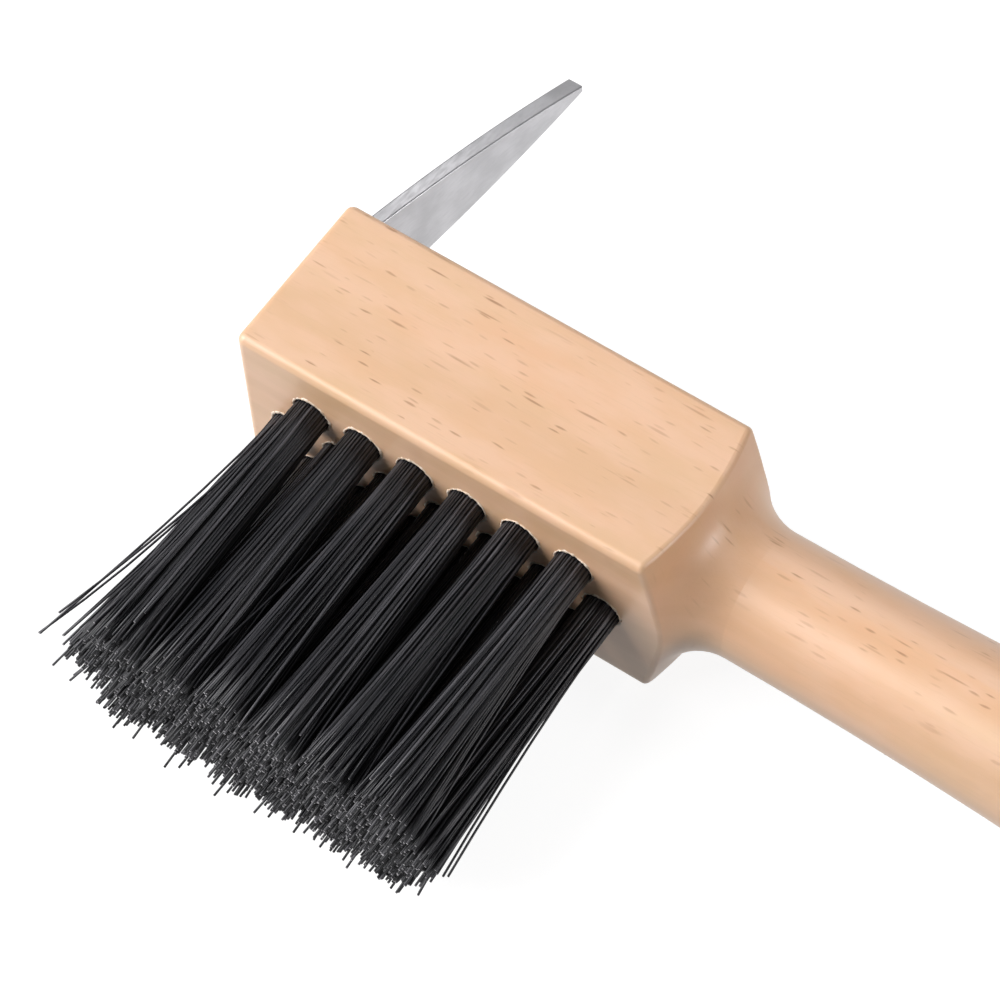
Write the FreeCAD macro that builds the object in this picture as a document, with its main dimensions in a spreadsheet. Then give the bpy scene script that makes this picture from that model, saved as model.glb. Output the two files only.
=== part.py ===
import FreeCAD, Part
import math
import os
import Sketcher

# A hand brush with a steel pick. One beech body: a square head block whose end is turned down
# through a cove shoulder into a round handle. Three staggered rows of drilled holes in the
# head's -Y face hold the bristle tufts, each folded round a flat wire anchor. A flat tapered
# steel pick is let into the head's end face and stands out on the +Y side.
#
# Row frame: origin at the centre of the head's lower large face, +Z up through the head,
# +X along the handle away from the head, bristles towards -Y, pick towards +Y.
# Head frame, which the driving dimensions use: the same directions, with its origin on the
# handle's axis in the plane of the head's far end face.

V = FreeCAD.Vector

SIZES = (
    # head block
    ("head_long", 60.0, "far end face to the start of the cove"),
    ("head_wide", 24.4, "bristle face to pick face, along Y"),
    ("head_tall", 29.6, "between the two large faces, along Z"),
    ("upper_edge_round", 1.2, "rounding of the long edges of the upper large face"),
    ("lower_edge_round", 2.2, "rounding of the long edges of the lower large face"),
    ("end_edge_round", 1.2, "rounding round the far end face"),
    ("shoulder_edge_round", 0.8, "rounding where the cove meets the faces"),
    # turned shoulder and handle
    ("shoulder_half", 19.3, "radius of the cone where it leaves the head block's corners"),
    ("shoulder_lean", 20.0, "lean of the cone from the plane of the head's end, degrees"),
    ("cove_round", 8.0, "radius of the cove between the cone and the neck"),
    ("neck_half", 8.8, "radius of the neck at the foot of the cove"),
    ("hollow_round", 805.0, "radius of the long hollow from the neck"),
    ("hollow_far", 115.3, "far end face to the end of the hollow"),
    ("belly_round", 600.0, "radius of the belly that follows the hollow"),
    ("whole_long", 200.0, "far end face to the butt of the handle"),
    ("butt_round", 7.0, "rounding of the butt"),
    ("hang_hole_half", 2.5, "radius of the hanging hole"),
    ("hang_hole_inset", 13.0, "butt to the centre of the hanging hole"),
    # tufts and their drilled holes
    ("hole_half", 2.65, "radius of a tuft hole"),
    ("hole_deep", 11.0, "depth of a tuft hole at full width"),
    ("drill_point_angle", 118.0, "angle of the drill's point, degrees"),
    ("hole_pitch", 7.86, "spacing of the holes along a row"),
    ("row_pitch", 6.7, "spacing of the rows"),
    ("rows_centre_z", -0.3, "height of the middle row in the head frame"),
    ("rows_centre_x", 30.65, "middle of the rows from the far end face"),
    ("tuft_gap", 0.03, "radial gap between a packed tuft and its hole"),
    ("tuft_tip_half", 3.75, "radius of a tuft's end"),
    ("tuft_free_long", 40.8, "length of a tuft outside the head"),
    ("anchor_wide", 6.1, "width of an anchor, which bites into the hole's wall"),
    ("anchor_thick", 0.4, "thickness of the flat anchor wire"),
    ("anchor_tall", 1.6, "size of an anchor along the hole"),
    ("anchor_lift", 2.0, "hole bottom to the anchor"),
    # pick
    ("pick_thick", 1.9, "thickness of the tang"),
    ("pick_tip_thick", 2.4, "thickness at the tip, along the handle"),
    ("pick_half", 7.4, "half width of the tang"),
    ("pick_tip_half", 0.5, "half width of the blunt tip"),
    ("pick_edge_round", 186.0, "radius of the blade's long curved edges"),
    ("pick_reach", 51.2, "handle axis to the tip, along Y"),
    ("pick_lean", 10.0, "lean of the blade towards the handle, degrees"),
    ("pick_bend_round", 4.0, "inner radius of the bend"),
    ("pick_bend_y", 12.4, "handle axis to the start of the bend"),
    ("pick_tang_y", -5.0, "lower end of the tang from the handle axis"),
    ("pick_tang_round", 3.0, "corner rounding of the tang"),
    ("pick_inset", 1.5, "depth of the recess for the tang"),
    ("pick_gap", 0.15, "side gap of the tang in its recess"),
    ("pick_edge_break", 0.25, "rounding of the pick's ground edges"),
    # screws
    ("screw_half", 1.5, "shank radius of a screw"),
    ("screw_head_half", 2.8, "head radius of a screw"),
    ("screw_long", 16.0, "length of a screw"),
    ("screw_point_long", 3.0, "length of the point"),
    ("screw_upper_y", 8.2, "upper screw from the handle axis"),
    ("screw_lower_y", 1.7, "lower screw from the handle axis"),
    ("screw_cross_long", 3.2, "span of the cross recess"),
    ("screw_cross_wide", 0.7, "width of the cross recess"),
    ("screw_cross_deep", 1.3, "depth of the cross recess"),
    # how far the outlines of cuts run past the material
    ("overrun", 1.0, "length that a cutting outline runs past the material"),
)
ROW_COUNTS = (6, 7, 6)

doc = FreeCAD.newDocument("groove_brush")
sheet = doc.addObject("Spreadsheet::Sheet", "Sizes")
for line, (alias, value, meaning) in enumerate(SIZES, start=1):
    sheet.set(f"A{line}", alias)
    sheet.set(f"B{line}", str(value))
    sheet.setAlias(f"B{line}", alias)
    sheet.set(f"C{line}", meaning)
doc.recompute()


def size(alias):
    return float(sheet.get(alias))


def linked(formula):
    """Turn each [alias] of a formula into a reference to its cell."""
    return formula.replace("[", "Sizes.").replace("]", "")


def number(formula):
    """The present value of a formula, for the first positions in a sketch."""
    return float(sheet.evalExpression(linked(formula)))


def drive(thing, prop, formula):
    """Bind a property to a formula of the sheet."""
    thing.setExpression(prop, linked(formula))


def new_body(label):
    body = doc.addObject("PartDesign::Body", label)
    body.Label = label
    return body


def place(thing, x="0", y="0", z="0", rotation=None):
    """Place a sub-part at a point given in the head frame."""
    thing.Placement = FreeCAD.Placement(V(0, 0, 0), rotation or FreeCAD.Rotation())
    drive(thing, "Placement.Base.x", f"({x}) * 1mm - [head_long] * 0.5mm")
    drive(thing, "Placement.Base.y", f"({y}) * 1mm")
    drive(thing, "Placement.Base.z", f"({z}) * 1mm + [head_tall] * 0.5mm")


def new_sketch(body, name, plane, lift=None):
    """A sketch on one of the body's own origin planes, raised along the plane's normal."""
    sketch = body.newObject("Sketcher::SketchObject", name)
    flat = [part for part in body.Origin.OriginFeatures if part.Role == plane][0]
    sketch.AttachmentSupport = [(flat, "")]
    sketch.MapMode = "FlatFace"
    if lift:
        drive(sketch, "AttachmentOffset.Base.z", f"({lift}) * 1mm")
    return sketch


def fix(sketch, formula, *constraint):
    """Add a dimension to a sketch and bind it to a formula of the sheet."""
    index = sketch.addConstraint(Sketcher.Constraint(*constraint, number(formula)))
    drive(sketch, f"Constraints[{index}]", f"({formula}) * 1mm")


def fix_point(sketch, edge, end, x, y):
    """Hold a point of a sketch at x, y; a bare "0" holds it on that axis."""
    if x == "0":
        sketch.addConstraint(Sketcher.Constraint("PointOnObject", edge, end, -2))
    else:
        fix(sketch, x, "DistanceX", -1, 1, edge, end)
    if y == "0":
        sketch.addConstraint(Sketcher.Constraint("PointOnObject", edge, end, -1))
    else:
        fix(sketch, y, "DistanceY", -1, 1, edge, end)


def polygon(sketch, corners):
    """A closed outline of straight lines; each corner is a pair of formulas."""
    first = sketch.GeometryCount
    points = [V(number(x), number(y), 0) for x, y in corners]
    for start, end in zip(points, points[1:] + points[:1]):
        sketch.addGeometry(Part.LineSegment(start, end), False)
    for place_in_loop, (x, y) in enumerate(corners):
        edge = first + place_in_loop
        following = first + (place_in_loop + 1) % len(corners)
        sketch.addConstraint(Sketcher.Constraint("Coincident", edge, 2, following, 1))
        fix_point(sketch, edge, 1, x, y)


def circle(sketch, x, y, radius):
    edge = sketch.addGeometry(Part.Circle(V(number(x), number(y), 0), V(0, 0, 1), number(radius)))
    fix_point(sketch, edge, 3, x, y)
    fix(sketch, radius, "Radius", edge)


def new_feature(body, kind, name, sketch):
    feature = body.newObject(f"PartDesign::{kind}", name)
    feature.Profile = sketch
    return feature


def pocket(body, name, sketch, depth=None, both_ways=False, flipped=False):
    """Cut a sketch's outline away, to a depth or right through, and see that it cut."""
    before = body.Tip.Shape.Volume
    feature = new_feature(body, "Pocket", name, sketch)
    if depth:
        drive(feature, "Length", f"({depth}) * 1mm")
    else:
        feature.Type = "ThroughAll"
    feature.Midplane = both_ways
    feature.Reversed = flipped
    doc.recompute()
    if feature.Shape.Volume > before - 1e-3:
        raise RuntimeError(f"{name} cuts nothing")
    return feature


def repeat_along_x(body, name, originals, pitch, count):
    pattern = body.newObject("PartDesign::LinearPattern", name)
    pattern.Originals = originals
    axis = [part for part in body.Origin.OriginFeatures if part.Role == "X_Axis"][0]
    pattern.Direction = (axis, [""])
    pattern.Occurrences = count
    drive(pattern, "Length", f"{pitch} * {count - 1}mm")
    body.Tip = pattern
    doc.recompute()


def round_edges(body, name, radius, wanted):
    """Fillet the edges of the body's last feature whose box passes the test."""
    base = body.Tip
    names = [f"Edge{i}" for i, edge in enumerate(base.Shape.Edges, start=1) if wanted(edge)]
    if not names:
        raise RuntimeError(f"{name} finds no edge")
    feature = body.newObject("PartDesign::Fillet", name)
    feature.Base = (base, names)
    drive(feature, "Radius", f"[{radius}] * 1mm")
    doc.recompute()


def hole_places():
    """Row number, place in the row, and the two formulas of the place, for every tuft."""
    for row, count in enumerate(ROW_COUNTS, start=1):
        for spot in range(1, count + 1):
            along = f"[rows_centre_x] + [hole_pitch] * {spot - (count + 1) / 2}"
            height = f"[rows_centre_z] + [row_pitch] * {2 - row}"
            yield row, spot, along, height


# ---------------------------------------------------------------- wooden body

def turn_handle(body):
    """Groove away all that lies outside the cone, the cove, the hollow, the belly and the butt."""
    sketch = new_sketch(body, "turning_profile", "XZ_Plane")
    start_x = size("head_long")
    cove = size("cove_round")
    neck = size("neck_half")
    hollow = size("hollow_round")
    belly = size("belly_round")
    butt = size("butt_round")
    end_x = size("whole_long")
    clear = size("head_tall")
    lean = math.radians(size("shoulder_lean"))
    cone_foot = V(0, neck + cove - cove * math.sin(lean), 0)
    cone_foot.x = start_x + (size("shoulder_half") - cone_foot.y) * math.tan(lean)
    foot = V(cone_foot.x + cove * math.cos(lean), neck, 0)
    hollow_long = size("hollow_far") - foot.x
    slope = math.asin(hollow_long / hollow)
    join = V(foot.x + hollow_long, neck + hollow - hollow * math.cos(slope), 0)
    middle = V(join.x + belly * math.sin(slope), join.y - belly * math.cos(slope), 0)
    butt_y = middle.y + math.sqrt(belly ** 2 - (end_x - butt - middle.x) ** 2)
    cove_arc = Part.ArcOfCircle(
        Part.Circle(V(foot.x, neck + cove, 0), V(0, 0, 1), cove), math.pi + lean, 1.5 * math.pi)
    hollow_arc = Part.ArcOfCircle(
        Part.Circle(V(foot.x, neck + hollow, 0), V(0, 0, 1), hollow),
        1.5 * math.pi, 1.5 * math.pi + slope)
    fall = math.acos((end_x - butt - middle.x) / belly)
    belly_arc = Part.ArcOfCircle(
        Part.Circle(middle, V(0, 0, 1), belly), fall, 0.5 * math.pi + slope)
    butt_arc = Part.ArcOfCircle(
        Part.Circle(V(end_x - butt, butt_y - butt, 0), V(0, 0, 1), butt), 0, fall)
    drop = V(end_x, 0, 0)
    top_left = V(start_x - (clear - size("shoulder_half")) * math.tan(lean), clear, 0)
    top_right = V(end_x + cove, clear, 0)
    wall = sketch.addGeometry(Part.LineSegment(top_left, cone_foot))
    a_cove = sketch.addGeometry(cove_arc)
    a_hollow = sketch.addGeometry(hollow_arc)
    a_belly = sketch.addGeometry(belly_arc)
    a_butt = sketch.addGeometry(butt_arc)
    face = sketch.addGeometry(Part.LineSegment(V(end_x, butt_y - butt, 0), drop))
    floor = sketch.addGeometry(Part.LineSegment(drop, V(end_x + cove, 0, 0)))
    side = sketch.addGeometry(Part.LineSegment(V(end_x + cove, 0, 0), top_right))
    roof = sketch.addGeometry(Part.LineSegment(top_right, top_left))
    for one, one_end, other, other_end in (
        (wall, 2, a_cove, 1),
        (a_cove, 2, a_hollow, 1),
        (a_hollow, 2, a_belly, 2),
        (a_belly, 1, a_butt, 2),
        (a_butt, 1, face, 1),
    ):
        sketch.addConstraint(Sketcher.Constraint("Tangent", one, one_end, other, other_end))
    for one, other in ((face, floor), (floor, side), (side, roof), (roof, wall)):
        sketch.addConstraint(Sketcher.Constraint("Coincident", one, 2, other, 1))
    lean_index = sketch.addConstraint(Sketcher.Constraint("Angle", wall, lean - 0.5 * math.pi))
    drive(sketch, f"Constraints[{lean_index}]", "[shoulder_lean] * 1deg - 90deg")
    sketch.addConstraint(Sketcher.Constraint("Vertical", a_cove, 3, a_cove, 2))
    sketch.addConstraint(Sketcher.Constraint("Vertical", face))
    sketch.addConstraint(Sketcher.Constraint("Vertical", side))
    sketch.addConstraint(Sketcher.Constraint("Horizontal", roof))
    set_back = "([head_tall] - [shoulder_half]) * tan([shoulder_lean] * 1deg)"
    fix_point(sketch, wall, 1, f"[head_long] - {set_back}", "[head_tall]")
    fix(sketch, "[neck_half]", "DistanceY", -1, 1, a_cove, 2)
    fix(sketch, "[cove_round]", "Radius", a_cove)
    fix(sketch, "[hollow_round]", "Radius", a_hollow)
    fix(sketch, "[hollow_far]", "DistanceX", -1, 1, a_hollow, 2)
    fix(sketch, "[belly_round]", "Radius", a_belly)
    fix(sketch, "[butt_round]", "Radius", a_butt)
    fix_point(sketch, face, 2, "[whole_long]", "0")
    fix_point(sketch, side, 1, "[whole_long] + [cove_round]", "0")
    before = body.Tip.Shape.Volume
    turned = new_feature(body, "Groove", "turned_handle", sketch)
    turned.ReferenceAxis = (sketch, ["H_Axis"])
    turned.Angle = 360
    doc.recompute()
    if turned.Shape.Volume > before - 1e3:
        raise RuntimeError("the handle isn't turned down")


def drill_tuft_holes(body):
    """One blind hole with a drill's cone and its anchor's scores, repeated along each row."""
    for row, spot, along, height in hole_places():
        if spot > 1:
            continue
        count = ROW_COUNTS[row - 1]
        mouth = "[head_wide] * 0.5"
        spot_sketch = new_sketch(body, f"row_{row}_spot", "XZ_Plane", mouth)
        circle(spot_sketch, along, height, "[hole_half]")
        doc.recompute()
        hole = new_feature(body, "Hole", f"row_{row}_hole", spot_sketch)
        doc.recompute()
        hole.DepthType = "Dimension"
        hole.DrillPoint = "Angled"
        hole.DrillForDepth = False
        drive(hole, "DrillPointAngle", "[drill_point_angle] * 1deg")
        drive(hole, "Diameter", "[hole_half] * 2mm")
        drive(hole, "Depth", "[hole_deep] * 1mm")
        doc.recompute()
        score_sketch = new_sketch(body, f"row_{row}_score_outline", "XZ_Plane", mouth)
        polygon(score_sketch, rectangle(along, height, "[anchor_wide]", "[anchor_thick]"))
        score_depth = "[hole_deep] - [anchor_lift]"
        score = pocket(body, f"row_{row}_score", score_sketch, score_depth)
        repeat_along_x(body, f"row_{row}_holes", [hole, score], "[hole_pitch]", count)


def rectangle(x, y, wide, tall):
    """The four corners of a rectangle about a centre, as formulas."""
    sides = (("-", "-"), ("+", "-"), ("+", "+"), ("-", "+"))
    return [(f"{x} {a} {wide} * 0.5", f"{y} {b} {tall} * 0.5") for a, b in sides]


def recess_for_pick(body):
    """A flat-bottomed recess in the end face, open towards the pick's side."""
    sketch = new_sketch(body, "recess_outline", "YZ_Plane")
    low = "[pick_tang_y] - [pick_gap]"
    high = "[head_wide] * 0.5 + [overrun]"
    half = "([pick_half] + [pick_gap])"
    corners = [(low, f"0 - {half}"), (high, f"0 - {half}"), (high, half), (low, half)]
    polygon(sketch, corners)
    pocket(body, "pick_recess", sketch, "[pick_inset]", flipped=True)
    reach = number(low)

    def is_corner(edge):
        box = edge.BoundBox
        return box.YLength < 0.01 and box.ZLength < 0.01 and abs(box.YMin - reach) < 0.01

    round_edges(body, "recess_corners", "pick_tang_round", is_corner)


def drill_screw_holes(body):
    for name, height in (("upper", "[screw_upper_y]"), ("lower", "[screw_lower_y]")):
        sketch = new_sketch(body, f"{name}_screw_spot", "YZ_Plane", "[pick_inset]")
        circle(sketch, height, "0", "[screw_half]")
        depth = "[screw_long] - [pick_thick]"
        pocket(body, f"{name}_screw_hole", sketch, depth, flipped=True)


def make_wood():
    body = new_body("wood_body")
    blank_sketch = new_sketch(body, "blank_section", "YZ_Plane")
    polygon(blank_sketch, rectangle("0", "0", "[head_wide]", "[head_tall]"))
    blank = new_feature(body, "Pad", "blank", blank_sketch)
    drive(blank, "Length", "([whole_long] + [overrun]) * 1mm")
    doc.recompute()

    def is_long(edge, side):
        box = edge.BoundBox
        return box.XLength > size("head_long") and box.ZMin * side > 0

    round_edges(body, "upper_long_edges", "upper_edge_round", lambda edge: is_long(edge, 1))
    round_edges(body, "lower_long_edges", "lower_edge_round", lambda edge: is_long(edge, -1))
    turn_handle(body)
    round_edges(body, "far_end_edges", "end_edge_round", lambda edge: edge.BoundBox.XMax < 0.01)

    def on_shoulder(edge):
        box = edge.BoundBox
        near = size("head_long") - 0.1
        far = size("head_long") + size("cove_round") - 0.5
        return box.XMin > near and box.XMax < far

    round_edges(body, "shoulder_edges", "shoulder_edge_round", on_shoulder)
    recess_for_pick(body)
    drill_screw_holes(body)
    drill_tuft_holes(body)
    hang_sketch = new_sketch(body, "hang_hole_spot", "XY_Plane")
    circle(hang_sketch, "[whole_long] - [hang_hole_inset]", "0", "[hang_hole_half]")
    pocket(body, "hang_hole", hang_sketch, both_ways=True)
    place(body)
    return body


# ---------------------------------------------------------------- tufts and anchors

OUT_OF_HOLE = FreeCAD.Rotation(V(1, 0, 0), 90)


def make_tuft(row, spot, along, height):
    """A packed root in the hole and a flared free length, about its own +Z axis."""
    body = new_body(f"tuft_{row}_{spot}")
    sketch = new_sketch(body, f"tuft_{row}_{spot}_profile", "XZ_Plane")
    packed = "([hole_half] - [tuft_gap])"
    polygon(sketch, [
        ("0", "0 - [hole_deep]"),
        (packed, "0 - [hole_deep]"),
        (packed, "0"),
        ("[tuft_tip_half]", "[tuft_free_long]"),
        ("0", "[tuft_free_long]"),
    ])
    turned = new_feature(body, "Revolution", f"tuft_{row}_{spot}_bundle", sketch)
    turned.ReferenceAxis = (sketch, ["V_Axis"])
    turned.Angle = 360
    doc.recompute()
    slot_sketch = new_sketch(body, f"tuft_{row}_{spot}_fold", "XZ_Plane")
    middle = "[anchor_lift] - [hole_deep] + [anchor_tall] * 0.5"
    polygon(slot_sketch, rectangle("0", middle, "([hole_half] * 3)", "[anchor_tall]"))
    slot = new_feature(body, "Pocket", f"tuft_{row}_{spot}_slot", slot_sketch)
    slot.Midplane = True
    drive(slot, "Length", "[anchor_thick] * 1mm")
    place(body, along, "0 - [head_wide] * 0.5", height, OUT_OF_HOLE)
    return body


def make_anchor(row, spot, along, height):
    """A short length of flat wire across the bottom of one hole."""
    wire = doc.addObject("Part::Box", f"anchor_{row}_{spot}")
    drive(wire, "Length", "[anchor_wide] * 1mm")
    drive(wire, "Width", "[anchor_tall] * 1mm")
    drive(wire, "Height", "[anchor_thick] * 1mm")
    inner = "[hole_deep] - [anchor_lift] - [anchor_tall] - [head_wide] * 0.5"
    place(wire, f"{along} - [anchor_wide] * 0.5", inner, f"{height} - [anchor_thick] * 0.5")
    return wire


def group(label, members):
    """Identical pieces kept as separate solids of one sub-part."""
    together = doc.addObject("Part::Compound", label)
    together.Label = label
    together.Links = members
    return together


# ---------------------------------------------------------------- pick and screws

def pad_pick_outline(body):
    """The stamped outline, padded deep enough to hold the leaning blade."""
    sketch = new_sketch(body, "pick_outline", "YZ_Plane")
    half = size("pick_half")
    tip = size("pick_tip_half")
    low = size("pick_tang_y")
    shoulder = size("head_wide") / 2
    reach = size("pick_reach")
    radius = size("pick_edge_round")
    run = V(reach - shoulder, tip - half, 0)
    middle = V((shoulder + reach) / 2, (half + tip) / 2, 0)
    sideways = V(-run.y, run.x, 0).normalize()
    to_centre = math.sqrt(radius ** 2 - (run.Length / 2) ** 2)
    centre = middle - sideways * to_centre
    first = math.atan2(tip - centre.y, reach - centre.x)
    last = math.atan2(half - centre.y, shoulder - centre.x)
    upper = sketch.addGeometry(
        Part.ArcOfCircle(Part.Circle(centre, V(0, 0, 1), radius), first, last))
    lower = sketch.addGeometry(
        Part.ArcOfCircle(Part.Circle(V(centre.x, -centre.y, 0), V(0, 0, 1), radius), -last, -first))
    corners = [V(shoulder, half, 0), V(low, half, 0), V(low, -half, 0), V(shoulder, -half, 0)]
    sides = [sketch.addGeometry(Part.LineSegment(a, b)) for a, b in zip(corners, corners[1:])]
    end = sketch.addGeometry(Part.LineSegment(V(reach, -tip, 0), V(reach, tip, 0)))
    for one, one_end, other, other_end in (
        (upper, 2, sides[0], 1),
        (sides[0], 2, sides[1], 1),
        (sides[1], 2, sides[2], 1),
        (sides[2], 2, lower, 1),
        (lower, 2, end, 1),
        (end, 2, upper, 1),
    ):
        sketch.addConstraint(Sketcher.Constraint("Coincident", one, one_end, other, other_end))
    fix_point(sketch, sides[0], 1, "[head_wide] * 0.5", "[pick_half]")
    fix_point(sketch, sides[1], 1, "[pick_tang_y]", "[pick_half]")
    fix_point(sketch, sides[1], 2, "[pick_tang_y]", "0 - [pick_half]")
    fix_point(sketch, sides[2], 2, "[head_wide] * 0.5", "0 - [pick_half]")
    fix_point(sketch, end, 1, "[pick_reach]", "0 - [pick_tip_half]")
    fix_point(sketch, end, 2, "[pick_reach]", "[pick_tip_half]")
    fix(sketch, "[pick_edge_round]", "Radius", upper)
    fix(sketch, "[pick_edge_round]", "Radius", lower)
    plate = new_feature(body, "Pad", "pick_plate", sketch)
    drive(plate, "Length", "[head_wide] * 1mm")
    plate.Midplane = True
    doc.recompute()


def cut_pick_side(body):
    """Cut the plate to its side view: a straight tang, a bend and a blade that thickens."""
    sketch = new_sketch(body, "pick_side", "XY_Plane")
    thick = size("pick_thick")
    inner = size("pick_inset")
    bend_y = size("pick_bend_y")
    bend = size("pick_bend_round")
    lean = math.radians(size("pick_lean"))
    tip_thick = size("pick_tip_thick")
    low = size("pick_tang_y") - size("overrun")
    high = size("pick_reach") + size("overrun")
    centre = V(inner + bend, bend_y, 0)
    inner_end = centre - V(math.cos(lean), -math.sin(lean), 0) * bend
    outer_end = centre - V(math.cos(lean), -math.sin(lean), 0) * (bend + thick)
    tip_x = inner_end.x + (high - inner_end.y) * math.tan(lean)
    circle_in = Part.Circle(centre, V(0, 0, 1), bend)
    circle_out = Part.Circle(centre, V(0, 0, 1), bend + thick)
    tang_in = sketch.addGeometry(Part.LineSegment(V(inner, low, 0), V(inner, bend_y, 0)))
    bend_in = sketch.addGeometry(Part.ArcOfCircle(circle_in, math.pi - lean, math.pi))
    blade_in = sketch.addGeometry(Part.LineSegment(inner_end, V(tip_x, high, 0)))
    end = sketch.addGeometry(Part.LineSegment(V(tip_x, high, 0), V(tip_x - tip_thick, high, 0)))
    blade_out = sketch.addGeometry(Part.LineSegment(V(tip_x - tip_thick, high, 0), outer_end))
    bend_out = sketch.addGeometry(Part.ArcOfCircle(circle_out, math.pi - lean, math.pi))
    tang_out = sketch.addGeometry(
        Part.LineSegment(V(inner - thick, bend_y, 0), V(inner - thick, low, 0)))
    foot = sketch.addGeometry(Part.LineSegment(V(inner - thick, low, 0), V(inner, low, 0)))
    for one, one_end, other, other_end in (
        (tang_in, 2, bend_in, 2),
        (bend_in, 1, blade_in, 1),
        (blade_out, 2, bend_out, 1),
        (bend_out, 2, tang_out, 1),
    ):
        sketch.addConstraint(Sketcher.Constraint("Tangent", one, one_end, other, other_end))
    for one, other in ((blade_in, end), (end, blade_out), (tang_out, foot), (foot, tang_in)):
        sketch.addConstraint(Sketcher.Constraint("Coincident", one, 2, other, 1))
    sketch.addConstraint(Sketcher.Constraint("Vertical", tang_in))
    sketch.addConstraint(Sketcher.Constraint("Vertical", tang_out))
    sketch.addConstraint(Sketcher.Constraint("Horizontal", end))
    sketch.addConstraint(Sketcher.Constraint("Coincident", bend_in, 3, bend_out, 3))
    foot_y = "[pick_tang_y] - [overrun]"
    fix_point(sketch, tang_in, 1, "[pick_inset]", foot_y)
    fix_point(sketch, tang_out, 2, "[pick_inset] - [pick_thick]", foot_y)
    fix(sketch, "[pick_bend_y]", "DistanceY", -1, 1, tang_in, 2)
    fix(sketch, "[pick_bend_round]", "Radius", bend_in)
    fix(sketch, "[pick_reach] + [overrun]", "DistanceY", -1, 1, end, 1)
    fix(sketch, "[pick_tip_thick]", "DistanceX", end, 2, end, 1)
    lean_rule = Sketcher.Constraint("Angle", blade_in, 1, -2, 1, lean)
    lean_index = sketch.addConstraint(lean_rule)
    drive(sketch, f"Constraints[{lean_index}]", "[pick_lean] * 1deg")
    left, right = "0 - [head_wide]", "[head_wide]"
    below, above = "[pick_tang_y] - [overrun] * 2", "[pick_reach] + [overrun] * 2"
    polygon(sketch, [(left, below), (right, below), (right, above), (left, above)])
    pocket(body, "bent_side", sketch, both_ways=True)


def make_pick():
    body = new_body("pick")
    pad_pick_outline(body)
    cut_pick_side(body)
    tang_y = size("pick_tang_y")

    def is_tang_corner(edge):
        box = edge.BoundBox
        return box.YMax < tang_y + 0.01 and box.ZLength < 0.01

    round_edges(body, "tang_corners", "pick_tang_round", is_tang_corner)

    def is_ground(edge):
        box = edge.BoundBox
        through_thickness = box.YLength < 1 and box.ZLength < 0.01
        across_blade = box.YLength < 0.01 and box.ZLength > 2 and box.YMin > 0
        return not through_thickness and not across_blade

    round_edges(body, "ground_edges", "pick_edge_break", is_ground)
    outer = "[pick_inset] - [pick_thick]"
    for name, height in (("upper", "[screw_upper_y]"), ("lower", "[screw_lower_y]")):
        sketch = new_sketch(body, f"{name}_countersink_profile", "XY_Plane")
        cone = "([screw_head_half] - [screw_half])"
        polygon(sketch, [
            (outer, height),
            (outer, f"{height} + [screw_head_half]"),
            (f"{outer} + {cone}", f"{height} + [screw_half]"),
            ("[pick_inset] + [overrun]", f"{height} + [screw_half]"),
            ("[pick_inset] + [overrun]", height),
        ])
        axis = sketch.addGeometry(Part.LineSegment(V(0, size(f"screw_{name}_y"), 0),
                                                   V(5, size(f"screw_{name}_y"), 0)), True)
        fix_point(sketch, axis, 1, "0", height)
        fix_point(sketch, axis, 2, "[pick_bend_round]", height)
        sink = new_feature(body, "Groove", f"{name}_countersink", sketch)
        sink.ReferenceAxis = (sketch, ["Axis0"])
        sink.Angle = 360
        doc.recompute()
    place(body)
    return body


def make_screw(name, height):
    """A countersunk wood screw along +X with a cross recess, drawn without its thread."""
    body = new_body(f"{name}_screw")
    sketch = new_sketch(body, f"{name}_screw_profile", "XY_Plane")
    cone = "([screw_head_half] - [screw_half])"
    polygon(sketch, [
        ("0", "0"),
        ("0", "[screw_head_half]"),
        (cone, "[screw_half]"),
        ("[screw_long] - [screw_point_long]", "[screw_half]"),
        ("[screw_long]", "0"),
    ])
    turned = new_feature(body, "Revolution", f"{name}_screw_turned", sketch)
    turned.ReferenceAxis = (sketch, ["H_Axis"])
    turned.Angle = 360
    doc.recompute()
    span = "[screw_cross_long]"
    slit = "[screw_cross_wide]"
    for arm, wide, tall in (("level", span, slit), ("upright", slit, span)):
        cross = new_sketch(body, f"{name}_{arm}_arm", "YZ_Plane")
        polygon(cross, rectangle("0", "0", wide, tall))
        pocket(body, f"{name}_{arm}_slot", cross, "[screw_cross_deep]", flipped=True)
    place(body, "[pick_inset] - [pick_thick]", height)
    return body


# ---------------------------------------------------------------- build, check and write

pieces = [make_wood(), make_pick()]
screws = [make_screw("upper", "[screw_upper_y]"), make_screw("lower", "[screw_lower_y]")]
pieces.append(group("pick_screws", screws))
pieces += [make_tuft(*spot) for spot in hole_places()]
pieces.append(group("tuft_anchors", [make_anchor(*spot) for spot in hole_places()]))
doc.recompute()

for thing in doc.Objects:
    if "Invalid" in thing.State or "Error" in thing.State:
        raise RuntimeError(f"{thing.Label} is {thing.State}")
for piece in pieces:
    if piece.Shape.isNull() or not piece.Shape.isValid():
        raise RuntimeError(f"{piece.Label} has no valid shape")

os.makedirs("parts", exist_ok=True)
for piece in pieces:
    piece.Shape.exportStep(f"parts/{piece.Label}.step")
    print(piece.Label, len(piece.Shape.Solids), round(piece.Shape.Volume, 1), piece.Shape.BoundBox)
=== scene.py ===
import math

import bpy
import numpy as np
from mathutils import Matrix, Vector


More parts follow.
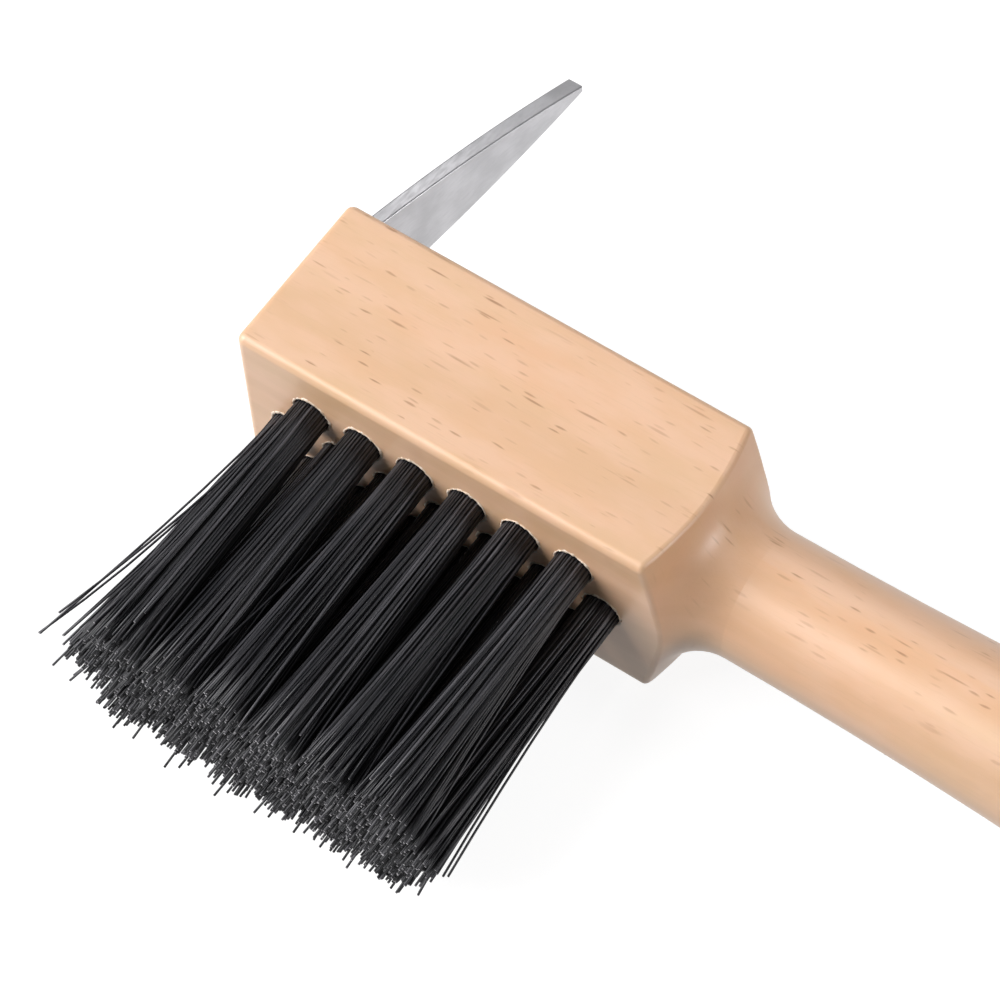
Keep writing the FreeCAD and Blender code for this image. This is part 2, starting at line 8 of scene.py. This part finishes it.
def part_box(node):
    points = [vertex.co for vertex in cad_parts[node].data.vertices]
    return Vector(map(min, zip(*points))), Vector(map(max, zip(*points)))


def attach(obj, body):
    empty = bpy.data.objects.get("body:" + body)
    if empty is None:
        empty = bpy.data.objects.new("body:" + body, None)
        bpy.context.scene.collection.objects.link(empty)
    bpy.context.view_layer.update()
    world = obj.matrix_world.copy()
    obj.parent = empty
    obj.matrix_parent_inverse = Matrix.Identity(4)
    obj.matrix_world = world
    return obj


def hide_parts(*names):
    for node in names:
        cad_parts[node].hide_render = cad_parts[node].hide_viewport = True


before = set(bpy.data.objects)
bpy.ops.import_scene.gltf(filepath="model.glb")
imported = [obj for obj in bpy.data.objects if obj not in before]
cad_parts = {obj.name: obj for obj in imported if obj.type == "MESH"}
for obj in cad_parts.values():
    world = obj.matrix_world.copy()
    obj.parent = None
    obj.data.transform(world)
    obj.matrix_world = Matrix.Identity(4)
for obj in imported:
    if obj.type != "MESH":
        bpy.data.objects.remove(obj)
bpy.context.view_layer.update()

# The looks of a hand brush with a steel pick, round its CAD frame. Lengths are in metres. The
# handle runs along +X, the bristles point to -Y, the pick to +Y, and the brush rests on z = 0.

MM = 0.001
BODY = "root"
HOLE_RADIUS = 2.65 * MM
WHITE = (1, 1, 1, 1)


def mouth_y():
    """The plane of the head's bristle face."""
    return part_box("wood_body")[0].y


def link_object(name, data):
    thing = bpy.data.objects.new(name, data)
    bpy.context.scene.collection.objects.link(thing)
    return thing


# ---------------------------------------------------------------- shader nodes

def feed(tree, node, inputs):
    """Set a node's inputs, by name or number, to values or to other nodes' outputs."""
    for key, value in inputs.items():
        if isinstance(value, bpy.types.NodeSocket):
            tree.links.new(value, node.inputs[key])
        else:
            node.inputs[key].default_value = value


def add(tree, kind, inputs=None, **settings):
    """A new node of one kind, with its inputs and settings."""
    node = tree.nodes.new("ShaderNode" + kind)
    for name, value in settings.items():
        setattr(node, name, value)
    feed(tree, node, inputs or {})
    return node


def new_material(name):
    material = bpy.data.materials.new(name)
    material.use_nodes = True
    tree = material.node_tree
    return material, tree, tree.nodes["Principled BSDF"]


def math_node(tree, operation, first, second=0.0):
    return add(tree, "Math", {0: first, 1: second}, operation=operation).outputs[0]


def vector_math(tree, operation, first, second):
    return add(tree, "VectorMath", {0: first, 1: second}, operation=operation).outputs[0]


def blend(tree, factor, first, second):
    """A colour that goes from the first to the second as the factor goes from 0 to 1."""
    return add(tree, "Mix", {0: factor, 6: first, 7: second}, data_type="RGBA").outputs[2]


def remap(tree, value, low, high, to_low=0.0, to_high=1.0):
    """Ease a value from one range to another, held at the ends."""
    inputs = {0: value, 1: low, 2: high, 3: to_low, 4: to_high}
    return add(tree, "MapRange", inputs, interpolation_type="SMOOTHSTEP").outputs[0]


def object_point(tree):
    return add(tree, "TexCoord").outputs["Object"]


def stretched(tree, point, cell, shift=(0, 0, 0)):
    """A point in units of a cell's three sides."""
    inputs = {"Vector": point, "Location": shift, "Scale": [1 / side for side in cell]}
    return add(tree, "Mapping", inputs).outputs[0]


def noise(tree, point, detail=2.0, roughness=0.5, output="Fac"):
    inputs = {"Vector": point, "Scale": 1.0, "Detail": detail, "Roughness": roughness}
    return add(tree, "TexNoise", inputs).outputs[output]


def bump(tree, height, distance, strength):
    inputs = {"Height": height, "Distance": distance, "Strength": strength}
    return add(tree, "Bump", inputs).outputs[0]


# ---------------------------------------------------------------- camera, floor and lights

LENS = 156.85
SENSOR_WIDTH = 36
CAMERA_TARGET = Vector((5.13, -6.41, 14.8)) * MM
CAMERA_ANGLES = (-51.39, 58.91)
CAMERA_DISTANCE = 0.53912
CAMERA_ROLL = -4.33

FLOOR_HALF = 3.0
FLOOR_GREY = (0.25, 0.25, 0.25, 1)
FLOOR_GLOW = 0.9

ROOM_ABOVE = 0.18
ROOM_BELOW = 0.05
LIGHT_TARGET = Vector((0, 0, 0.015))
LIGHTS = (
    # name, azimuth, elevation, distance, side, power
    ("key", -138, 44, 1.2, 0.7, 11.6),
    ("back", 118, 46, 1.2, 0.5, 2.2),
    ("left", -150, 20, 1.0, 0.5, 6.4),
    ("right", 11, 20, 1.0, 0.14, 3.8),
)


def aim(thing, place, target, roll=0.0):
    """Put a camera or light at a place, looking at a target, rolled about its line of sight."""
    back = (place - target).normalized()
    level = Vector((0, 0, 1)).cross(back).normalized()
    upright = back.cross(level)
    right = level * math.cos(roll) + upright * math.sin(roll)
    turn = Matrix((right, back.cross(right), back)).transposed()
    thing.matrix_world = Matrix.Translation(place) @ turn.to_4x4()


def direction(azimuth, elevation):
    """The unit vector towards an azimuth and elevation in degrees, azimuth 0 along +X."""
    a, e = math.radians(azimuth), math.radians(elevation)
    return Vector((math.cos(e) * math.cos(a), math.cos(e) * math.sin(a), math.sin(e)))


def make_camera():
    data = bpy.data.cameras.new("camera")
    data.lens = LENS
    data.sensor_width = SENSOR_WIDTH
    camera = link_object("camera", data)
    place = CAMERA_TARGET + direction(*CAMERA_ANGLES) * CAMERA_DISTANCE
    aim(camera, place, CAMERA_TARGET, math.radians(CAMERA_ROLL))
    bpy.context.scene.camera = camera


def make_light(name, azimuth, elevation, distance, side, power):
    data = bpy.data.lights.new(name, "AREA")
    data.size = side
    data.energy = power
    light = link_object(name, data)
    aim(light, LIGHT_TARGET + direction(azimuth, elevation) * distance, LIGHT_TARGET)


def make_floor():
    """A glowing floor. It shows in reflections and gives no diffuse light."""
    reach = FLOOR_HALF
    corners = [(-reach, -reach, 0), (reach, -reach, 0), (reach, reach, 0), (-reach, reach, 0)]
    mesh = bpy.data.meshes.new("floor")
    mesh.from_pydata(corners, [], [(0, 1, 2, 3)])
    floor = link_object("floor", mesh)
    material, tree, shader = new_material("floor")
    feed(tree, shader, {
        "Base Color": FLOOR_GREY, "Roughness": 0.9, "Specular IOR Level": 0.1,
        "Emission Color": WHITE, "Emission Strength": FLOOR_GLOW,
    })
    mesh.materials.append(material)
    floor.visible_diffuse = False


def light_studio():
    """A dim room, brighter above than below, with four soft boxes."""
    world = bpy.data.worlds.new("studio")
    world.use_nodes = True
    tree = world.node_tree
    height = add(tree, "SeparateXYZ", {0: add(tree, "TexCoord").outputs["Generated"]}).outputs[2]
    room = remap(tree, height, -0.15, 0.15, ROOM_BELOW, ROOM_ABOVE)
    feed(tree, tree.nodes["Background"], {"Color": WHITE, "Strength": room})
    bpy.context.scene.world = world
    bpy.context.scene.view_settings.view_transform = "Standard"
    for light in LIGHTS:
        make_light(*light)


# ---------------------------------------------------------------- materials

PEACH = (0.80, 0.475, 0.285, 1)
CREAM = (0.76, 0.485, 0.290, 1)
PALE_PATCH = (0.84, 0.54, 0.37, 1)
RING_BROWN = (0.62, 0.36, 0.19, 1)
FIBRE_BROWN = (0.60, 0.37, 0.20, 1)
END_GRAIN_BROWN = (0.66, 0.32, 0.14, 1)
FLECK_BROWN = (0.40, 0.19, 0.095, 1)
TORN_PALE = (0.92, 0.80, 0.68, 1)
TORN_DARK = (0.78, 0.58, 0.42, 1)

LONG_FLECK = ((0.0090, 0.0009, 0.012), 0.62, 0.26)
SHORT_FLECK = ((0.0042, 0.0007, 0.006), 0.75, 0.28)
BEECH_RELIEF = 0.04 * MM
TORN_RELIEF = 0.05 * MM
STEEL_RELIEF = 0.01 * MM
STEEL_DARKENING = 0.82


def ray_flecks(tree, point, cell, share, width):
    """Scattered spindles in a grid of cells; a share of the cells has one."""
    warp = noise(tree, stretched(tree, point, [side * 1.5 for side in cell]), output="Color")
    moved = vector_math(tree, "MULTIPLY", warp, (0.7, 0.7, 0.7))
    place = vector_math(tree, "ADD", stretched(tree, point, cell), moved)
    cells = add(tree, "TexVoronoi", {"Vector": place, "Scale": 1.0, "Randomness": 1.0})
    draw = add(tree, "SeparateColor", {0: cells.outputs["Color"]}).outputs
    chosen = remap(tree, draw[0], 1 - share, 1 - share * 0.6)
    inside = remap(tree, cells.outputs["Distance"], width, width * 0.35)
    depth = math_node(tree, "MULTIPLY", chosen, inside)
    return math_node(tree, "MULTIPLY", depth, remap(tree, draw[1], 0.0, 1.0, 0.35, 1.0))


def beech_flecks(tree, point, upward):
    """Long and short ray flecks, in patches, strongest on the faces that look up or down."""
    thick = noise(tree, stretched(tree, point, (0.020, 0.008, 0.03), (5, 5, 5)), 1)
    patches = remap(tree, thick, 0.3, 0.6, 0.35, 1)
    long_ones = ray_flecks(tree, point, *LONG_FLECK)
    short_ones = math_node(tree, "MULTIPLY", ray_flecks(tree, point, *SHORT_FLECK), 0.8)
    tangential = remap(tree, math_node(tree, "ABSOLUTE", upward), 0.3, 0.95, 0.15, 1.0)
    flecks = math_node(tree, "MAXIMUM", long_ones, short_ones)
    flecks = math_node(tree, "MULTIPLY", flecks, patches)
    return math_node(tree, "MULTIPLY", flecks, tangential)


def make_beech():
    """Varnished beech: peach and cream drift, rings, fine fibres, darker end grain and flecks."""
    material, tree, shader = new_material("beech")
    point = object_point(tree)
    drift = noise(tree, stretched(tree, point, (0.045, 0.010, 0.014)), 2)
    mottle = noise(tree, stretched(tree, point, (0.011, 0.004, 0.005), (3, 1, 2)), 3)
    fibre = noise(tree, stretched(tree, point, (0.006, 0.00022, 0.00022)), 2, 0.6)
    rings = add(tree, "TexWave", {
        "Vector": stretched(tree, point, (0.6, 0.018, 0.018), (0, 2.3, 4.1)),
        "Scale": 1.0, "Distortion": 1.5, "Detail": 2.0, "Detail Scale": 0.8,
    }, wave_type="RINGS", rings_direction="X").outputs["Fac"]
    facing = add(tree, "SeparateXYZ", {0: add(tree, "NewGeometry").outputs["Normal"]}).outputs
    end_grain = remap(tree, math_node(tree, "ABSOLUTE", facing[0]), 0.3, 0.9, 0.0, 0.5)
    end_grain = math_node(tree, "MULTIPLY", end_grain, remap(tree, mottle, 0.25, 0.7, 0.55, 1.0))
    flecks = beech_flecks(tree, point, facing[2])

    colour = blend(tree, remap(tree, drift, 0.3, 0.7), PEACH, CREAM)
    colour = blend(tree, remap(tree, mottle, 0.35, 0.68, 0, 0.7), colour, PALE_PATCH)
    colour = blend(tree, remap(tree, rings, 0.55, 1.0, 0, 0.16), colour, RING_BROWN)
    colour = blend(tree, remap(tree, fibre, 0.5, 0.85, 0, 0.22), colour, FIBRE_BROWN)
    colour = blend(tree, end_grain, colour, END_GRAIN_BROWN)
    colour = blend(tree, math_node(tree, "MULTIPLY", flecks, 0.95), colour, FLECK_BROWN)

    dullness = math_node(tree, "ADD", remap(tree, mottle, 0.2, 0.8, 0.42, 0.56),
                         math_node(tree, "MULTIPLY", flecks, 0.15))
    relief = math_node(tree, "ADD", math_node(tree, "MULTIPLY", fibre, 0.35),
                       math_node(tree, "MULTIPLY", flecks, -1.0))
    relief = math_node(tree, "ADD", relief, math_node(tree, "MULTIPLY", mottle, 0.8))
    feed(tree, shader, {
        "Base Color": colour, "Roughness": dullness, "Specular IOR Level": 0.45,
        "Coat Weight": 0.6, "Coat Roughness": 0.36,
        "Subsurface Weight": 0.06, "Subsurface Radius": (0.0012, 0.0006, 0.0003),
        "Normal": bump(tree, relief, BEECH_RELIEF, 0.6),
    })
    return material


def make_torn_wood():
    """Bare, paler wood fibres."""
    material, tree, shader = new_material("torn_wood")
    fray = noise(tree, stretched(tree, object_point(tree), (0.0008, 0.0003, 0.0003)), 3, 0.7)
    feed(tree, shader, {
        "Base Color": blend(tree, remap(tree, fray, 0.35, 0.7), TORN_PALE, TORN_DARK),
        "Roughness": remap(tree, fray, 0.3, 0.7, 0.6, 0.85),
        "Normal": bump(tree, fray, TORN_RELIEF, 0.7),
    })
    return material


def make_steel(name, colour, roughness, scratch_cell):
    """Steel with fine scratches, long along one side of their cell, and a soft cloudiness."""
    material, tree, shader = new_material(name)
    point = object_point(tree)
    cloud = noise(tree, stretched(tree, point, (0.006, 0.006, 0.006)), 3)
    scratch = noise(tree, stretched(tree, point, scratch_cell), 3, 0.7)
    darker = [channel * STEEL_DARKENING for channel in colour[:3]] + [1]
    shade = blend(tree, remap(tree, cloud, 0.3, 0.7), colour, darker)
    feed(tree, shader, {
        "Base Color": blend(tree, remap(tree, scratch, 0.45, 0.8, 0, 0.35), shade, darker),
        "Roughness": remap(tree, scratch, 0.2, 0.8, roughness * 0.8, roughness * 1.25),
        "Metallic": 1.0,
        "Normal": bump(tree, scratch, STEEL_RELIEF, 0.5),
    })
    return material


def make_nylon(name, dark, light, roughness, gloss, pale):
    """Black synthetic filament. The mesh holds each one's shade, and it turns from dark to
    light as that shade goes through the pale range. On the cut ends that light colour is a
    painted glint."""
    material, tree, shader = new_material(name)
    shade = add(tree, "Attribute", attribute_name="shade").outputs["Fac"]
    along = noise(tree, stretched(tree, object_point(tree), (0.0015, 0.009, 0.0015)), 2)
    # On the sides this is random tone; on the cut ends this mix of dark and light paints glints.
    tone_and_glint = math_node(tree, "MULTIPLY", remap(tree, shade, *pale),
                     remap(tree, along, 0.25, 0.75, 0.6, 1.3))
    feed(tree, shader, {
        "Base Color": blend(tree, tone_and_glint, dark, light),
        "Roughness": remap(tree, along, 0.3, 0.7, roughness * 0.85, roughness * 1.2),
        "Specular IOR Level": gloss,
    })
    return material


# ---------------------------------------------------------------- torn rims of the holes

RIM_SIDES = 60
RIM_SEED = 7
RIM_BURIED = 0.10 * MM


def rim_rings(rng, middle):
    """Closed ragged ring of raised fibres on the bristle face, round one hole: points and faces."""
    turn = np.arange(RIM_SIDES) * 2 * math.pi / RIM_SIDES
    ragged = rng.random((2, RIM_SIDES))
    smooth = (ragged + np.roll(ragged, 1, axis=1) + np.roll(ragged, 2, axis=1)) / 3
    smooth = np.clip(smooth * 2.2 - 0.6, 0, 1)
    radii = (
        np.full(RIM_SIDES, HOLE_RADIUS),
        HOLE_RADIUS + (0.06 + 0.10 * smooth[0]) * MM,
        HOLE_RADIUS + (0.16 + 0.50 * smooth[1]) * MM,
    )
    rises = (-RIM_BURIED, (0.06 + 0.14 * ragged[0]) * MM, -RIM_BURIED)
    points = np.zeros((RIM_SIDES, 3, 3))
    for place, (radius, rise) in enumerate(zip(radii, rises)):
        points[:, place, 0] = middle.x + radius * np.cos(turn)
        points[:, place, 1] = mouth_y() - rise
        points[:, place, 2] = middle.z + radius * np.sin(turn)
    faces = []
    for side in range(RIM_SIDES):
        here, there = side * 3, (side + 1) % RIM_SIDES * 3
        for place in range(3):
            after = (place + 1) % 3
            faces.append((here + place, there + place, there + after, here + after))
    return points.reshape(-1, 3), faces


def make_rims(nodes):
    rng = np.random.default_rng(RIM_SEED)
    points, faces = [], []
    for node in nodes:
        low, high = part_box(node)
        ring, ring_faces = rim_rings(rng, (low + high) / 2)
        start = len(points)
        points += ring.tolist()
        faces += [tuple(start + corner for corner in face) for face in ring_faces]
    mesh = bpy.data.meshes.new("torn_rims")
    mesh.from_pydata(points, [], faces)
    mesh.polygons.foreach_set("use_smooth", [True] * len(faces))
    mesh.materials.append(make_torn_wood())
    rims = link_object("torn_rims", mesh)
    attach(rims, BODY)


# ---------------------------------------------------------------- bristles

FILAMENT_COUNT = 200
FILAMENT_WIDE = 0.33 * MM
FILAMENT_SIDES = 5
FILAMENT_STEPS = 7
FIRST_SEED = 100
GOLDEN_ANGLE = math.pi * (3 - math.sqrt(5))

WALL_GAP = FILAMENT_WIDE * 0.6  # hole wall to the outermost filament's centre line
ANCHOR_GAP = 0.3 * MM
TIP_SCATTER = 0.40 * MM
LOOSE_SHARE, LOOSE_SCATTER = 0.07, 1.2 * MM
LENGTH_SHIFT, LENGTH_SCATTER = -0.3 * MM, 0.65 * MM
SHORT_SHARE, SHORT_CUT = 0.07, (1 * MM, 7 * MM)
LONG_SHARE, LONG_EXTRA = 0.03, (0.8 * MM, 2.4 * MM)
BOW_SCATTER = 0.20 * MM
SPREAD_POWER = 1.6
EDGE_COUNT = 14
STRAY_REACH = {-1: (1.0, 1.6, 2.6, 4.2, 4.7), 1: (0.5, 0.8, 1.3, 1.8, 2.4)}  # in mm


def filament_tips(rng, box, outward):
    """One tuft's filaments: (x, z) of roots and tips from its axis, and their free lengths.
    A tuft at a row's end has some strays, outward along X by -1 or 1."""
    low, high = box
    tip_radius = (high.x - low.x) / 2
    free_long = mouth_y() - low.y
    index = np.arange(FILAMENT_COUNT) + 0.5
    angle = index * GOLDEN_ANGLE + rng.uniform(0, 2 * math.pi)
    ring = np.sqrt(index / FILAMENT_COUNT)
    spoke = np.stack([np.cos(angle), np.sin(angle)], axis=1) * ring[:, None]
    root = spoke * (HOLE_RADIUS - WALL_GAP)
    tip = spoke * tip_radius + rng.normal(0, TIP_SCATTER, (FILAMENT_COUNT, 2))
    loose = rng.random(FILAMENT_COUNT) < LOOSE_SHARE
    tip[loose] += rng.normal(0, LOOSE_SCATTER, (int(loose.sum()), 2))
    length = free_long + rng.normal(LENGTH_SHIFT, LENGTH_SCATTER, FILAMENT_COUNT)
    short = rng.random(FILAMENT_COUNT) < SHORT_SHARE
    length[short] -= rng.uniform(*SHORT_CUT, int(short.sum()))
    long = rng.random(FILAMENT_COUNT) < LONG_SHARE
    length[long] += rng.uniform(*LONG_EXTRA, int(long.sum()))
    if outward:
        reach = np.array(STRAY_REACH[outward])
        edge = np.argsort(-spoke[:, 0] * outward)[:EDGE_COUNT]
        stray = rng.choice(edge, len(reach), replace=False)
        tip[stray, 0] += outward * reach * MM
    return root, tip, length


def filament_lines(rng, box, outward):
    """Centre lines of one tuft's filaments, from just short of the anchor to the cut ends."""
    low, high = box
    middle = (low + high) / 2
    root, tip, length = filament_tips(rng, box, outward)
    bow = rng.normal(0, BOW_SCATTER, (FILAMENT_COUNT, 2))
    lines = np.zeros((FILAMENT_COUNT, FILAMENT_STEPS + 1, 3))
    lines[:, 0, 1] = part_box("tuft_anchors")[0].y - ANCHOR_GAP
    lines[:, 0, [0, 2]] = root
    for step in range(1, FILAMENT_STEPS + 1):
        out = (step - 1) / (FILAMENT_STEPS - 1)
        spread = out ** SPREAD_POWER
        lines[:, step, 1] = mouth_y() - length * out
        lines[:, step, [0, 2]] = root + (tip - root) * spread + bow * 4 * out * (1 - out)
    lines[:, :, 0] += middle.x
    lines[:, :, 2] += middle.z
    return lines


def tube_mesh(name, lines, width, sides, shades):
    """Closed tubes along lines that run mostly along Y. The far caps are the second material."""
    count, rings, _ = lines.shape
    turn = np.arange(sides) * 2 * math.pi / sides
    rim = np.stack([np.cos(turn), np.zeros(sides), np.sin(turn)], axis=1) * width / 2
    points = (lines[:, :, None, :] + rim).reshape(-1, 3)
    faces, slots, face_shades = [], [], []
    for tube in range(count):
        start = tube * rings * sides
        for ring in range(rings - 1):
            base = start + ring * sides
            for side in range(sides):
                after = (side + 1) % sides
                faces.append((base + side, base + after, base + sides + after, base + sides + side))
        last = start + (rings - 1) * sides
        faces.append(tuple(start + side for side in reversed(range(sides))))
        faces.append(tuple(last + side for side in range(sides)))
        slots += [0] * ((rings - 1) * sides + 1) + [1]
        face_shades += [shades[tube]] * ((rings - 1) * sides + 2)
    mesh = bpy.data.meshes.new(name)
    mesh.from_pydata(points.tolist(), [], faces)
    mesh.polygons.foreach_set("material_index", slots)
    mesh.polygons.foreach_set("use_smooth", [slot == 0 for slot in slots])
    shade = mesh.attributes.new("shade", "FLOAT", "FACE")
    shade.data.foreach_set("value", face_shades)
    mesh.update()
    return mesh


def make_tuft(node, seed, outward, materials):
    rng = np.random.default_rng(seed)
    lines = filament_lines(rng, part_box(node), outward)
    shades = rng.random(FILAMENT_COUNT) ** 2.5
    mesh = tube_mesh(f"{node}_filaments", lines, FILAMENT_WIDE, FILAMENT_SIDES, shades)
    for material in materials:
        mesh.materials.append(material)
    piece = link_object(f"{node}_filaments", mesh)
    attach(piece, BODY)
    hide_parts(node)


def tuft_nodes():
    nodes = sorted(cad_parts)
    return [node for node in nodes if node.startswith("tuft_") and node != "tuft_anchors"]


def make_bristles(nodes):
    side = make_nylon("bristle_side", (0.012, 0.012, 0.015, 1), (0.075, 0.073, 0.082, 1),
                      roughness=0.42, gloss=0.5, pale=(0.0, 1.0))
    # Cut ends: the pale grey on about half of them is a painted glint, on cut nylon that is a
    # little paler.
    end = make_nylon("bristle_end_glint", (0.006, 0.006, 0.007, 1), (0.60, 0.58, 0.61, 1),
                     roughness=0.7, gloss=0.1, pale=(0.02, 0.35))
    rows = {}
    for node in nodes:
        rows.setdefault(node.split("_")[1], []).append(node)
    for seed, node in enumerate(nodes, FIRST_SEED):
        row = rows[node.split("_")[1]]
        outward = -1 if node == row[0] else 1 if node == row[-1] else 0
        make_tuft(node, seed, outward, (side, end))


# ---------------------------------------------------------------- carried-over CAD nodes

STEELS = (
    # node, material, colour, roughness, scratch cell
    ("pick", "pick_steel", (0.56, 0.555, 0.575, 1), 0.42, (0.0003, 0.004, 0.0003)),
    ("pick_screws", "screw_steel", (0.55, 0.56, 0.58, 1), 0.30, (0.0006, 0.0006, 0.0006)),
    ("tuft_anchors", "anchor_wire", (0.50, 0.50, 0.50, 1), 0.40, (0.003, 0.0003, 0.0003)),
)


def finish_node(node, material):
    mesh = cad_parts[node].data
    mesh.materials.clear()
    mesh.materials.append(material)


make_camera()
make_floor()
light_studio()
finish_node("wood_body", make_beech())
for node, *look in STEELS:
    finish_node(node, make_steel(*look))
make_rims(tuft_nodes())
make_bristles(tuft_nodes())
